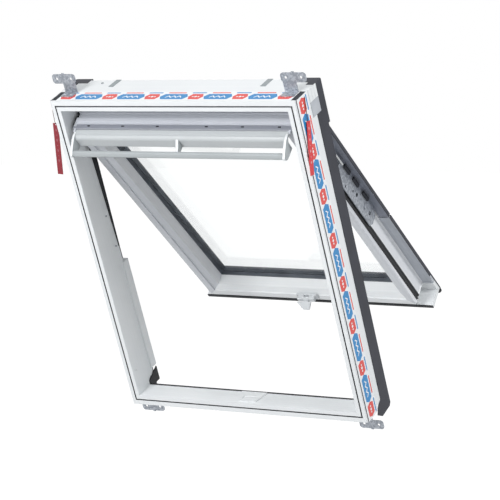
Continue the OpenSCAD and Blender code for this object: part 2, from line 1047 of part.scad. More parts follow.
// lever with a wing to one side, below its housing
module latch_lever() {
  color([0.86, 0.86, 0.88])
    in_sash() {
      rod_x(frame_w / 2 - 8.5, frame_w / 2 + 8.5, latch_s, latch_n, 7);
      rod_x(frame_w / 2 - 15, frame_w / 2 + 15, latch_s, latch_n, axle_r);
      translate([frame_w / 2, latch_s, latch_n])
        rotate([-55, 0, 0])
          along_n(-2.5, 2.5)
            polygon([[-7, 0], [7, 0], [7, 9], [16, 10], [11, lever_l - 2], [9, lever_l], [-9, lever_l],
              [-12, lever_l - 3], [-30, 12], [-30, 10], [-7, 9]]);
    }
}

// hollow flap, round its own centre line, with an axle along the rail
module vent_flap() {
  end_x = sash_x0 + 12;
  reach = 2 * flap_r;
  color(white)
    in_sash() {
      difference() {
        rod_x(end_x + 4, frame_w - end_x - 4, vent_c[0], vent_c[1], flap_r + flap_t);
        rod_x(end_x + 3, frame_w - end_x - 3, vent_c[0], vent_c[1], flap_r);
        block(0, frame_w, vent_c[0] - reach, vent_c[0] + 2, vent_c[1] - reach, vent_c[1] + reach);
        block(0, frame_w, vent_c[0] - reach, vent_c[0] + reach, vent_c[1] - reach, vent_c[1] + 3);
      }
      both()
        flap_end(end_x, end_x + 5);
      flap_end(frame_w / 2 - 4, frame_w / 2 + 4);
      both()
        rod_x(sash_x0 + 5.5, end_x + 2, vent_s, vent_n, axle_r);
    }
}

// crescent plate that carries the control bar
bar_turn = -35;
module flap_end(x0, x1) {
  reach = 2 * flap_r;
  difference() {
    rod_x(x0, x1, vent_c[0], vent_c[1], flap_r + 5);
    rod_x(x0 - eps, x1 + eps, vent_c[0] - 6, vent_c[1], flap_r - 4);
    block(x0 - eps, x1 + eps, vent_c[0] - reach, vent_c[0] + 1, vent_c[1] - reach, vent_c[1] + reach);
    translate([0, vent_c[0], vent_c[1]])
      rotate([bar_turn, 0, 0])
        block(x0 - eps, x1 + eps, -reach, 2 * reach, -reach, 0);
  }
}

module control_bar() {
  color(white)
    in_sash()
      translate([0, vent_c[0], vent_c[1]])
        rotate([bar_turn, 0, 0])
          along_x(sash_x0 + 12, sash_x1 - 12)
            polygon([[flap_r - 6, -2], [flap_r - 5, 0], [flap_r + 6, 0], [flap_r + 10, -4],
              [flap_r + 10, -10], [flap_r + 7, -13], [flap_r - 2, -13], [flap_r - 6, -8]]);
}

frame_head();
frame_sill();
frame_jamb_left();
frame_jamb_right();
foam_collar();
cover_tape();
head_cover();
head_clips();
corner_cover_left();
corner_cover_right();
side_cladding_left();
side_cladding_right();
corner_caps();
hinge_housings();
bracket_upper_left();
bracket_upper_right();
bracket_lower_left();
bracket_lower_right();
bracket_screws();
sill_seal();
jamb_seals();
jamb_strip_left();
jamb_strip_right();
jamb_screws();
corner_wedges();
striker_plate();
hinge_lugs();
pull_string_left();
pull_string_right();
pull_tag_left();
pull_tag_right();
arm_left();
arm_right();
arm_cover_left();
arm_cover_right();
arm_liners();
arm_pads();
arm_rods();
sash_top_rail();
sash_bottom_rail();
sash_stile_left();
sash_stile_right();
glass_inner();
glass_outer();
glass_spacer();
glazing_gasket();
sash_cladding_top();
sash_cladding_bottom();
sash_cladding_left();
sash_cladding_right();
sash_liners();
stile_seals();
bottom_seals();
corner_plugs();
pivot_pins();
latch_housing();
latch_lever();
vent_flap();
control_bar();
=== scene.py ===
# %% [markdown]
# # Dressing a roof skylight
# The solids come from the construction model: a fixed frame, two arms, a glazed sash, a latch lever and a
# ventilation flap. This lesson keeps those shapes, gives each one the finish of the real material, paints shade
# on some faces with greyer copies, and adds what is too fine for the construction model: the print on the cover
# tape, screw heads, the marks on the tags, string, and the flap's rolled sheet.

# %% Load the imported model
import json
import math

import bmesh
import bpy
from mathutils import Matrix, Vector


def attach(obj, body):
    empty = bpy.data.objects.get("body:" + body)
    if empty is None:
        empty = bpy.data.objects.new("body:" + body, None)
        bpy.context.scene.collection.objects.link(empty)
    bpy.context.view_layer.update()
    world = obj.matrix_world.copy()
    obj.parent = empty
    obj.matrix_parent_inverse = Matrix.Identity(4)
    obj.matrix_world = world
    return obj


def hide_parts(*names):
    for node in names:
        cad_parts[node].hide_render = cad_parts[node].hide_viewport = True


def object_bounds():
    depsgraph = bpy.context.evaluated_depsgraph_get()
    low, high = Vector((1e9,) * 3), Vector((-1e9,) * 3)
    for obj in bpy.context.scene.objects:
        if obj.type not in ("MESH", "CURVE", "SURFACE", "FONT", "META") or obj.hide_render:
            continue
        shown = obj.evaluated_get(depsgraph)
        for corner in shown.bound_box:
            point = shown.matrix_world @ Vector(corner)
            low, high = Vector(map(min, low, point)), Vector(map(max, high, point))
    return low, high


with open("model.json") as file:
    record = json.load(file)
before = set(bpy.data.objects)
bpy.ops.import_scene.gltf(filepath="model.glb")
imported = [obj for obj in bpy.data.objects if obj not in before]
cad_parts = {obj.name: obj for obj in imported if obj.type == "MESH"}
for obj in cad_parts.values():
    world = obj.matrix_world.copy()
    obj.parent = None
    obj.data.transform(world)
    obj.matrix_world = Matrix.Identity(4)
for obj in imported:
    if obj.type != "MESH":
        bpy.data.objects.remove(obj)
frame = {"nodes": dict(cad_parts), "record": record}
cad_box = [list(corner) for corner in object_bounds()]

# %% [markdown]
# ## The camera
# The photograph was taken from the room side, a little to the right and almost level. A long lens far away
# keeps the frame's edges nearly parallel. The numbers come from fitting the frame's corners.

# %% Camera
lens = bpy.data.cameras.new("long_lens")
lens.sensor_width = 36.0
lens.lens = 160.05
lens.clip_end = 100.0
camera = bpy.data.objects.new("camera", lens)
camera.location = (3.20804, -5.27455, 0.41837)
camera.rotation_euler = (math.radians(86.194), 0.0, math.radians(30.498))
bpy.context.collection.objects.link(camera)
bpy.context.scene.camera = camera
bpy.context.scene.view_settings.view_transform = "Standard"
print("camera", tuple(round(v, 3) for v in camera.location))

# %% [markdown]
# ## Window axes
# It is easier to think in the window's own directions: x across, s down the slope, n outwards, in
# millimetres from the upper left corner of the room side. One matrix turns such a point into metres in the
# shared frame. The sash stands open by thirty degrees about its hinge, so it has a matrix of its own.

# %% Window axes
PITCH, OPEN = 65.0, 30.0
FRAME_W, FRAME_H, ROOF_N = 780.0, 980.0, 56.0
HINGE = (0.0, 132.0, 124.0)
window = (Matrix.Scale(0.001, 4) @ Matrix.Rotation(math.radians(-PITCH), 4, "X")
          @ Matrix.Translation((-FRAME_W / 2, -FRAME_H / 2, -ROOF_N)))
open_window = (window @ Matrix.Translation(HINGE) @ Matrix.Rotation(math.radians(OPEN), 4, "X")
               @ Matrix.Translation(-Vector(HINGE)))


def turn_of(u, w):
    """Euler turn that lays a shape's x along u and its z along w."""
    u, w = Vector(u).normalized(), Vector(w).normalized()
    return Matrix((u, w.cross(u), w)).transposed().to_euler()


across = Vector((1, 0, 0))
down = (window.to_3x3() @ Vector((0, 1, 0))).normalized()
out = (window.to_3x3() @ Vector((0, 0, 1))).normalized()
print("down the slope", [round(v, 3) for v in down], "outwards", [round(v, 3) for v in out])

# %% [markdown]
# ## Pull strings
# Two thin strings lead from the tape to red tags: pulling one frees the foam. A string is a fixed length of
# something limp, so it is a round tube swept along a line. Its few known points are smoothed to that line.

# %% Pull strings
LEFT_ROUTE = [(-1, 6, 14), (-3, 12, 13), (-5, 20, 13), (-8, 31, 15), (-12, 42, 18), (-16, 54, 22),
              (-20, 66, 26), (-23, 76, 29), (-25, 84, 30.8)]
RIGHT_ROUTE = [(781, 8, 46), (781.2, 16, 44.5), (781.4, 26, 42.5), (781.6, 38, 40), (781.8, 50, 37.5),
               (782, 62, 35.5), (782, 69, 34.6), (782, 76, 33.8)]
STRING_R = 0.0008


def smooth_route(points, steps=3):
    """Points on a soft line through the given ones, in metres."""
    pts = [window @ Vector(p) for p in points]
    pts = [2 * pts[0] - pts[1]] + pts + [2 * pts[-1] - pts[-2]]
    line = []
    for a, b, c, d in zip(pts, pts[1:], pts[2:], pts[3:]):
        for i in range(steps):
            t = i / steps
            line.append(0.5 * (2 * b + (c - a) * t + (2 * a - 5 * b + 4 * c - d) * t * t
                               + (3 * b - a - 3 * c + d) * t ** 3))
    return line + [pts[-2]]


def string(side, route):
    """A round tube along the route, in place of the cord that carries a tag."""
    line = smooth_route(route)
    curve = bpy.data.curves.new("string_curve", "CURVE")
    curve.dimensions = "3D"
    curve.bevel_depth = STRING_R
    curve.bevel_resolution = 3
    curve.use_fill_caps = True
    spline = curve.splines.new("POLY")
    spline.points.add(len(line) - 1)
    for point, place in zip(spline.points, line):
        point.co = (*place, 1.0)
    guide = bpy.data.objects.new("string_guide", curve)
    bpy.context.collection.objects.link(guide)
    graph = bpy.context.evaluated_depsgraph_get()
    piece = bpy.data.objects.new("string_" + side, bpy.data.meshes.new_from_object(guide.evaluated_get(graph)))
    bpy.data.objects.remove(guide)
    bpy.context.collection.objects.link(piece)
    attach(piece, "frame")
    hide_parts("pull_string_" + side)
    return piece


string_left = string("left", LEFT_ROUTE)
string_right = string("right", RIGHT_ROUTE)

# %% [markdown]
# ## Studio
# The window hangs in front of white. The floor lies below the picture, and lets the camera see mostly its
# own white, with the rest of it shaded, so a soft shadow stays. The world looks white to the camera, to
# gloss and through the glass, and lights the window with a weaker, slightly cool sky. Three square lamps give
# the shading: a large one in front on the left, a smaller one on the right and a weak one above.

# %% One function that adds a node
def node(tree, kind, sockets=None, **settings):
    """Adds a node, sets its properties, and fills sockets with values or links."""
    made = tree.nodes.new(kind)
    for name, value in settings.items():
        setattr(made, name, value)
    for name, value in (sockets or {}).items():
        if isinstance(value, bpy.types.NodeSocket):
            tree.links.new(value, made.inputs[name])
        else:
            made.inputs[name].default_value = value
    return made


def linear(code):
    """sRGB hex to the linear colour that shaders use."""
    parts = [int(code[i:i + 2], 16) / 255 for i in (0, 2, 4)]
    return tuple(p / 12.92 if p <= 0.04045 else ((p + 0.055) / 1.055) ** 2.4 for p in parts) + (1.0,)


print("white is", [round(v, 3) for v in linear("F4F5F7")])


# %% World
def seen_rays(tree):
    """One for rays from the camera, off gloss and through glass, zero for light that falls on things."""
    rays = node(tree, "ShaderNodeLightPath")
    seen = rays.outputs["Is Camera Ray"]
    for kind in ("Is Glossy Ray", "Is Transmission Ray"):
        seen = node(tree, "ShaderNodeMath", {0: seen, 1: rays.outputs[kind]}, operation="MAXIMUM").outputs[0]
    return seen


SKY = 0.45
world = bpy.data.worlds.new("white_studio")
bpy.context.scene.world = world
world.use_nodes = True
tree = world.node_tree
tree.nodes.clear()
sky = node(tree, "ShaderNodeBackground", {"Color": linear("F3F7FA"), "Strength": SKY})
backdrop = node(tree, "ShaderNodeBackground", {"Color": (1, 1, 1, 1), "Strength": 1.0})
mixed = node(tree, "ShaderNodeMixShader", {0: seen_rays(tree), 1: sky.outputs[0], 2: backdrop.outputs[0]})
node(tree, "ShaderNodeOutputWorld", {"Surface": mixed.outputs[0]})
print("sky strength", SKY)

# %% Floor
FLOOR_DROP, FLOOR_SIZE, FLOOR_SHARE, FLOOR_GLOW = 0.32, 60.0, 0.85, 1.2
floor_z = cad_box[0][2] - FLOOR_DROP
bpy.ops.mesh.primitive_plane_add(size=FLOOR_SIZE, location=(0, 0, floor_z))
floor = bpy.context.object
floor.name = "studio_floor"
paper = bpy.data.materials.new("white_paper_floor")
paper.use_nodes = True
tree = paper.node_tree
tree.nodes.clear()
share = node(tree, "ShaderNodeMath", {0: seen_rays(tree), 1: FLOOR_SHARE}, operation="MULTIPLY")
matt = node(tree, "ShaderNodeBsdfDiffuse", {"Color": linear("D2D2D2")})
bright = node(tree, "ShaderNodeEmission", {"Color": (1, 1, 1, 1), "Strength": FLOOR_GLOW})
mixed = node(tree, "ShaderNodeMixShader", {0: share.outputs[0], 1: matt.outputs[0], 2: bright.outputs[0]})
node(tree, "ShaderNodeOutputMaterial", {"Surface": mixed.outputs[0]})
floor.data.materials.append(paper)
print("floor at", round(floor_z, 3))


# %% Soft lamps
def softbox(name, place, size, watts):
    """A square white lamp that looks at the middle of the window."""
    lamp = bpy.data.lights.new(name, "AREA")
    lamp.shape = "SQUARE"
    lamp.size = size
    lamp.energy = watts
    holder = bpy.data.objects.new(name, lamp)
    holder.location = place
    holder.rotation_euler = (-Vector(place)).to_track_quat("-Z", "Y").to_euler()
    bpy.context.collection.objects.link(holder)


softbox("front_box", (-1.1, -4.9, 1.36), 2.0, 160.0)
softbox("side_box", (4.25, -1.1, 2.4), 1.0, 105.0)
softbox("top_box", (0.0, -3.2, 3.6), 2.4, 10.0)

# %% [markdown]
# ## Finishes
# Every material starts from what the real one is; a few greyer copies are painted shade. Patterns read Object
# coordinates, which are metres in the shared frame, so a size in millimetres can be written directly. A Mapping
# node of type Texture divides by its scale: a scale of 0.006 makes one pattern cell six millimetres wide.


# %% Blank material and its dress
def blank(name):
    """An empty material with its shader, and the Object coordinates to draw on."""
    material = bpy.data.materials.new(name)
    material.use_nodes = True
    tree = material.node_tree
    tree.nodes.clear()
    shader = node(tree, "ShaderNodeBsdfPrincipled")
    node(tree, "ShaderNodeOutputMaterial", {"Surface": shader.outputs[0]})
    place = node(tree, "ShaderNodeTexCoord").outputs["Object"]
    return material, tree, shader, place


def grain(tree, place, size, turn=(0, 0, 0), detail=2.0):
    """Noise whose cells have the given size in millimetres, along turned axes."""
    where = node(tree, "ShaderNodeMapping", {"Vector": place, "Rotation": turn,
                                             "Scale": [v / 1000 for v in size]}, vector_type="TEXTURE")
    noise = node(tree, "ShaderNodeTexNoise", {"Vector": where.outputs[0], "Scale": 1.0, "Detail": detail})
    return noise.outputs[0]


def dress(tree, shader, colour, bump, rough=None):
    """Colour and roughness that follow patterns, and a relief of real depth over rounded edges.

    colour and rough: a pattern and the values at its low and high places.
    bump: a pattern, its depth in millimetres, its strength, and the radius of edges in millimetres.
    """
    pattern, low, high = colour
    ramp = node(tree, "ShaderNodeValToRGB", {"Fac": pattern})
    for stop, position, code in zip(ramp.color_ramp.elements, (0.3, 0.7), (low, high)):
        stop.position = position
        stop.color = linear(code)
    tree.links.new(ramp.outputs["Color"], shader.inputs["Base Color"])
    if rough:
        pattern, low, high = rough
        worn = node(tree, "ShaderNodeMapRange", {"Value": pattern, "To Min": low, "To Max": high})
        tree.links.new(worn.outputs[0], shader.inputs["Roughness"])
    pattern, depth_mm, strength, edge_mm = bump
    raised = node(tree, "ShaderNodeBump", {"Height": pattern, "Distance": depth_mm / 1000, "Strength": strength})
    if edge_mm:
        edge = node(tree, "ShaderNodeBevel", {"Radius": edge_mm / 1000}, samples=4)
        tree.links.new(edge.outputs[0], raised.inputs["Normal"])
    tree.links.new(raised.outputs[0], shader.inputs["Normal"])


print("helpers for finishes are ready")

# %% [markdown]
# ### White PVC
# The members are extruded PVC, satin and very even. The die leaves faint lines along each bar, so the noise
# is stretched along it: rails across the window, jambs down the slope, stiles along the open sash. Real die
# lines are under a millimetre apart; they are drawn at five millimetres so that they show at all. Moulded pieces
# have the same plastic with an even grain. The flap and the control bar have a greyer lacquer. Greyer copies of
# the white are painted shade: in the lining groove, on the stiles' room side, on the top rail under the head and
# on its band below the ridge; the flap plates' sides take the bar's grey as painted shade.


# %% White PVC
def extruded_pvc(name, size, turn, low="E9ECEE", high="F2F4F5"):
    material, tree, shader, place = blank(name)
    lines = grain(tree, place, size, turn)
    cloud = grain(tree, place, (140, 140, 140))
    both = node(tree, "ShaderNodeMix", {"Factor": 0.4, 2: lines, 3: cloud})
    dress(tree, shader, (both.outputs[0], low, high), (lines, 0.03, 0.1, 0.9), (lines, 0.32, 0.46))
    shader.inputs["IOR"].default_value = 1.53
    return material


LINE_L = 40000
tilt, sash_tilt = (math.radians(-PITCH), 0, 0), (math.radians(OPEN - PITCH), 0, 0)
ACROSS, DOWN, EVEN = (LINE_L, 5, 5), (5, LINE_L, 5), (9, 9, 9)
pvc_rail = extruded_pvc("white_pvc_extruded_across", ACROSS, tilt)
pvc_jamb = extruded_pvc("white_pvc_extruded_down", DOWN, tilt)
pvc_stile = extruded_pvc("white_pvc_extruded_sash", DOWN, sash_tilt, "E6E8EC", "EEF0F3")
# A greyer copy of the sash PVC that paints the shade on the stiles' room side.
stile_room_shade = extruded_pvc("pvc_with_painted_shade_on_sash_face", DOWN, sash_tilt, "D0D3D9", "DADDE2")
pvc_moulded = extruded_pvc("white_pvc_moulded", EVEN, (0, 0, 0), "E7EAEC", "F0F2F3")
latch_plastic = extruded_pvc("pale_grey_plastic_moulded", EVEN, (0, 0, 0), "D2D6D9", "DCDFE2")
# Grey copies of the white PVC that paint the shade deep in the lining groove: lighter in the head, darker in the
# sill and jambs.
groove_shade_grey = extruded_pvc("pvc_with_painted_shade_in_head_groove", EVEN, (0, 0, 0), "868990", "92959C")
groove_shade_dark = extruded_pvc("pvc_with_painted_shade_in_side_grooves", EVEN, (0, 0, 0), "3A3D43", "464950")
# Grey lacquer of the control bar; the same grey is painted shade on the flap plates' sides.
bar_lacquer_and_plate_shade = extruded_pvc("grey_lacquer_on_bar_and_painted_shade_on_plates", ACROSS, sash_tilt, "A6ACAE", "B2B7B9")
flap_lacquer = extruded_pvc("light_grey_lacquer_on_flap", ACROSS, sash_tilt, "C4C8CA", "CCD0D2")
# A pale grey copy of the white that paints the shade under the head over the whole top rail.
rail_shade_paint = extruded_pvc("pvc_with_painted_shade_on_rail", ACROSS, sash_tilt, "C6C9D1", "D0D3DA")
# A darker grey that paints the shade on the band below the top rail's ridge.
band_shade_paint = extruded_pvc("painted_shade_band_of_vent_holes", ACROSS, sash_tilt, "8C8F99", "979AA4")
print("white finishes", pvc_rail.name, pvc_jamb.name, pvc_stile.name, pvc_moulded.name)

# %% [markdown]
# ### Coated sheet
# The dark claddings are aluminium sheet with a charcoal powder coat. The coat has a fine orange-peel skin
# that breaks up reflections, and its colour drifts a little from place to place. It is a dull coat, so its
# specular level is half of the usual one.


# %% Charcoal coated aluminium
def coated_sheet(name, low, high):
    material, tree, shader, place = blank(name)
    peel = grain(tree, place, (2.2, 2.2, 2.2), detail=3.0)
    cloud = grain(tree, place, (90, 90, 90))
    dress(tree, shader, (cloud, low, high), (peel, 0.05, 0.3, 0.8), (peel, 0.38, 0.55))
    shader.inputs["Specular IOR Level"].default_value = 0.25
    return material


charcoal = coated_sheet("charcoal_powder_coat_on_aluminium", "2A2C34", "343640")
print(charcoal.name)

# %% [markdown]
# ### Rubber, plastics and foam
# Seals are extruded rubber: nearly black, dull, with a dusty bloom. The small housings are moulded plastic
# with a faint spark-eroded grain. The foam shows only at the tape's corners, as dark open cells.


# %% Rubber and moulded plastics
def moulded(name, low, high, rough, cell_mm):
    material, tree, shader, place = blank(name)
    fine = grain(tree, place, (cell_mm, cell_mm, cell_mm), detail=3.0)
    cloud = grain(tree, place, (45, 45, 45))
    dress(tree, shader, (cloud, low, high), (fine, 0.05, 0.35, 0.6), (fine, rough - 0.06, rough + 0.06))
    return material


rubber = moulded("black_epdm_rubber_extruded", "17181B", "24262B", 0.68, 1.6)
grey_plastic = moulded("grey_abs_moulded", "AFB3BA", "BEC2C8", 0.48, 1.4)
clip_plastic = moulded("dark_grey_abs_moulded", "8A9496", "989FA2", 0.48, 1.4)
# Black nylon for the black parts; the same black also paints the shade inside the top rail's vent holes.
black_plastic = moulded("black_nylon_moulded_and_painted_hole_shade", "1C1E24", "2A2D34", 0.5, 1.4)
gasket_rubber = moulded("dark_grey_rubber_gasket", "474C54", "555B63", 0.62, 1.6)
pale_plastic = moulded("pale_acetal_turned", "D6D8D8", "E2E3E2", 0.4, 1.2)
print(rubber.name, gasket_rubber.name, grey_plastic.name, black_plastic.name, pale_plastic.name)


# %% Foam
def open_cell_foam(name):
    material, tree, shader, place = blank(name)
    where = node(tree, "ShaderNodeMapping", {"Vector": place, "Scale": (0.0022,) * 3}, vector_type="TEXTURE")
    cells = node(tree, "ShaderNodeTexVoronoi", {"Vector": where.outputs[0], "Scale": 1.0}).outputs["Distance"]
    dress(tree, shader, (cells, "1E2024", "3C3F45"), (cells, 0.8, 0.7, 0))
    shader.inputs["Roughness"].default_value = 0.92
    return material


foam = open_cell_foam("grey_open_cell_foam")
print(foam.name)

# %% [markdown]
# ### Metals
# Brackets, arms and screws are zinc-coated steel: a cool grey with a soft spangle of flat crystals, which a
# Voronoi pattern gives in both colour and roughness. A dark copy paints the shade in the screw heads' cross
# recesses. The liners are mill-finish aluminium with fine rolling lines down the sash; a darker copy paints
# the shade on the liners behind the arms.


# %% Zinc-coated steel
def zinc_steel(name, low, high, cell_mm):
    material, tree, shader, place = blank(name)
    where = node(tree, "ShaderNodeMapping", {"Vector": place, "Scale": (cell_mm / 1000,) * 3},
                 vector_type="TEXTURE")
    spangle = node(tree, "ShaderNodeTexVoronoi", {"Vector": where.outputs[0], "Scale": 1.0})
    shade = node(tree, "ShaderNodeSeparateColor", {"Color": spangle.outputs["Color"]})
    dress(tree, shader, (shade.outputs[0], low, high), (spangle.outputs["Distance"], 0.04, 0.25, 0.5),
          (shade.outputs[1], 0.34, 0.52))
    shader.inputs["Metallic"].default_value = 0.75
    return material


steel = zinc_steel("zinc_coated_steel_spangled", "92979F", "B0B5BC", 5.0)
# A dark copy that paints the shade inside the screw heads' cross recesses.
recess_shade_steel = zinc_steel("painted_shade_in_screw_recess", "4A4D55", "5A5E66", 3.0)
print(steel.name, recess_shade_steel.name)


# %% Rolled aluminium
def rolled_aluminium(name, low, high):
    material, tree, shader, place = blank(name)
    lines = grain(tree, place, (1.5, 160, 1.5), sash_tilt, detail=3.0)
    dress(tree, shader, (lines, low, high), (lines, 0.03, 0.3, 0.5), (lines, 0.36, 0.5))
    shader.inputs["Metallic"].default_value = 0.6
    return material


aluminium = rolled_aluminium("mill_finish_aluminium_rolled", "B2B6BD", "C4C8CE")
# A darker copy that paints the shade on the liners behind the arms.
liner_shade_aluminium = rolled_aluminium("aluminium_with_painted_shade_behind_arm", "80848F", "9599A4")
print(aluminium.name, liner_shade_aluminium.name)

# %% [markdown]
# ### Film, ink, glass and string
# The cover tape is a white film that lies slightly wavy over the foam. Its inks are flat and a little glossy.
# The panes are clear float glass. Their index is lower than the real 1.52, because two panes with four faces
# would otherwise mirror more of the white studio than the real ones do. String is twisted fibre, so its colour
# changes along fine diagonal strands.


# %% Film and ink
def film(name, low, high, rough, wave_mm=26.0):
    material, tree, shader, place = blank(name)
    waves = grain(tree, place, (wave_mm, wave_mm, wave_mm), detail=1.0)
    fine = grain(tree, place, (3, 3, 3))
    dress(tree, shader, (fine, low, high), (waves, 0.5, 0.25, 0), (fine, rough - 0.04, rough + 0.08))
    return material


white_film = film("white_polythene_film", "F2F3F6", "F8F9FA", 0.4)
blue_ink = film("blue_ink_on_film", "2280BE", "2E90CE", 0.38)
red_ink = film("red_ink_on_film", "DC4540", "E8564F", 0.38)
red_tag = film("red_film_tag", "CF2C34", "DE3A40", 0.42, 40.0)
dark_tag = film("dark_red_film_tag", "84202C", "922934", 0.42, 40.0)
print(white_film.name, blue_ink.name, red_ink.name, red_tag.name, dark_tag.name)


# %% Glass and string
def clear_glass(name):
    material, tree, shader, place = blank(name)
    wash = node(tree, "ShaderNodeMapRange", {"Value": grain(tree, place, (300, 300, 300)), "To Max": 0.012})
    tree.links.new(wash.outputs[0], shader.inputs["Roughness"])
    shader.inputs["Base Color"].default_value = linear("FEFFFF")
    shader.inputs["Transmission Weight"].default_value = 1.0
    shader.inputs["IOR"].default_value = 1.3
    return material


def twisted_string(name, low, high):
    material, tree, shader, place = blank(name)
    where = node(tree, "ShaderNodeMapping", {"Vector": place, "Rotation": (0.6, 0.4, 0.3),
                                             "Scale": (0.004, 0.0012, 0.0012)}, vector_type="TEXTURE")
    strands = node(tree, "ShaderNodeTexWave", {"Vector": where.outputs[0], "Scale": 1.0,
                                               "Distortion": 1.5}).outputs["Fac"]
    dress(tree, shader, (strands, low, high), (strands, 0.2, 0.6, 0))
    shader.inputs["Roughness"].default_value = 0.85
    return material


glass = clear_glass("clear_float_glass")
twine = twisted_string("brown_twisted_string", "5A3A34", "7C584C")
string_left.data.materials.append(twine)
string_right.data.materials.append(twine)
print(glass.name, twine.name)

# %% [markdown]
# ## Finishes on the solids
# The record names a material slot for every solid. A table goes from slot to finish, and a second table gives
# single solids the finish whose lines run the right way or whose tone is their own. For the top rail and the arm
# liners that finish is a copy with painted shade.

# %% Give every solid its finish
BY_SLOT = {"white_pvc": pvc_moulded, "charcoal_cladding": charcoal, "black_rubber": rubber,
           "galvanised_steel": steel, "bare_aluminium": aluminium, "grey_plastic": grey_plastic,
           "black_plastic": black_plastic, "pale_plastic": pale_plastic, "grey_foam": foam,
           "printed_film": white_film, "clear_glass": glass, "brown_string": twine, "red_film": red_tag}
BY_NODE = {"frame_head": pvc_rail, "frame_sill": pvc_rail, "head_cover": pvc_rail, "striker_plate": pvc_rail,
           "frame_jamb_left": pvc_jamb, "frame_jamb_right": pvc_jamb, "jamb_strip_left": pvc_jamb,
           "jamb_strip_right": pvc_jamb, "sash_top_rail": rail_shade_paint, "sash_bottom_rail": pvc_rail,
           "sash_stile_left": pvc_stile, "sash_stile_right": pvc_stile, "control_bar": bar_lacquer_and_plate_shade,
           "pull_tag_left": dark_tag, "head_clips": clip_plastic, "arm_liners": liner_shade_aluminium,
           "glazing_gasket": gasket_rubber, "glass_spacer": gasket_rubber, "latch_housing": latch_plastic,
           "latch_lever": latch_plastic}
slots = {part["node"]: part["material_slot"] for part in frame["record"]["subparts"]}
for name, solid in frame["nodes"].items():
    solid.data.materials.clear()
    solid.data.materials.append(BY_NODE.get(name, BY_SLOT[slots[name]]))
print("finished solids", len(frame["nodes"]))

# %% [markdown]
# ## Second finishes on some faces
# Shade is painted on some faces: the lining groove round the frame gets grey copies of the white, the stiles'
# room side a grey-white copy, and the top rail a greyer band whose vent holes are painted black for the shade
# inside them. These are faces of a solid. They are picked out by their place in the window's own axes and given
# another finish, which leaves the solid's shape as it is.


# %% Groove, room side and band
def second_finish(name, finish, axes, chosen):
    """Gives another finish to the faces of a solid whose centre is chosen in the given axes."""
    solid = frame["nodes"][name]
    solid.data.materials.append(finish)
    back = axes.inverted()
    picked = [face for face in solid.data.polygons if chosen(*(back @ face.center))]
    for face in picked:
        face.material_index = len(solid.data.materials) - 1
    print(name, "faces with", finish.name, len(picked))


GROOVE_AT, GROOVE_W, GROOVE_D = 14.0, 4.0, 14.0
SASH_X, SASH_S, SASH_N = 40.0, 44.0, 53.0
STILE_FACE, BAND_D, BAND_W = 13.0, 5.5, (0.5, 17.0)
HOLE_D, HOLE_W = 9.5, (9.0, 15.0)
SLACK, SIDE_SLACK = 0.5, 0.1


def in_groove(edge, n):
    """True for a place inside the groove, by its distance from the frame's edge and its depth."""
    across_groove = GROOVE_AT - SIDE_SLACK < edge < GROOVE_AT + GROOVE_W + SIDE_SLACK
    return SLACK < n < GROOVE_D + SLACK and across_groove


# The groove's faces get the grey copies as painted shade.
second_finish("frame_head", groove_shade_grey, window, lambda x, s, n: in_groove(s, n))
second_finish("frame_sill", groove_shade_dark, window, lambda x, s, n: in_groove(FRAME_H - s, n))
second_finish("frame_jamb_left", groove_shade_dark, window, lambda x, s, n: in_groove(x, n))
second_finish("frame_jamb_right", groove_shade_dark, window, lambda x, s, n: in_groove(FRAME_W - x, n))
# The stiles' room side gets the greyer copy as painted shade.
for stile in ("sash_stile_left", "sash_stile_right"):
    second_finish(stile, stile_room_shade, open_window, lambda x, s, n: n < SASH_N + STILE_FACE)
# The band below the rail's ridge gets the darker grey as painted shade.
second_finish("sash_top_rail", band_shade_paint, open_window,
              lambda x, s, n: s < SASH_S + BAND_D and BAND_W[0] < n - SASH_N < BAND_W[1])
# Black on the faces inside the vent holes paints the shade in them.
second_finish("sash_top_rail", black_plastic, open_window,
              lambda x, s, n: BAND_D < s - SASH_S < HOLE_D and HOLE_W[0] < n - SASH_N < HOLE_W[1])

# %% [markdown]
# ## Ventilation flap
# The flap is a sheet: a flat leaf below the rail, a fine groove, then a roll backwards to a flat tail. It hangs
# on a pin at each end. Two white end plates and one in the middle carry the control bar. Each is a profile in the
# sash's axes, drawn out across the window, because sheet and plates have one section over their whole width.
# Together they stand for the plain flap of the construction model.


# %% Profiles drawn out across the window
def drawn(name, profiles, finish):
    """Closed bars from profiles of s and n, each between two places across the sash."""
    made = bmesh.new()
    for x0, x1, profile in profiles:
        ends = [[made.verts.new(open_window @ Vector((x, s, n))) for s, n in profile] for x in (x0, x1)]
        made.faces.new(ends[0])
        made.faces.new(ends[1][::-1])
        for i in range(len(profile)):
            j = (i + 1) % len(profile)
            made.faces.new((ends[0][i], ends[1][i], ends[1][j], ends[0][j]))
    bmesh.ops.recalc_face_normals(made, faces=made.faces[:])
    mesh = bpy.data.meshes.new(name)
    made.to_mesh(mesh)
    made.free()
    mesh.materials.append(finish)
    piece = bpy.data.objects.new(name, mesh)
    bpy.context.collection.objects.link(piece)
    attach(piece, "vent")
    print(name, len(mesh.polygons), "faces")
    return piece


def arc(centre, radius, first, last, steps=20):
    """Points of s and n on part of a circle, between two angles in degrees."""
    turns = [math.radians(first + (last - first) * i / steps) for i in range(steps + 1)]
    return [(centre[0] + radius * math.cos(a), centre[1] + radius * math.sin(a)) for a in turns]


print("profiles start", SASH_S, "down the sash")

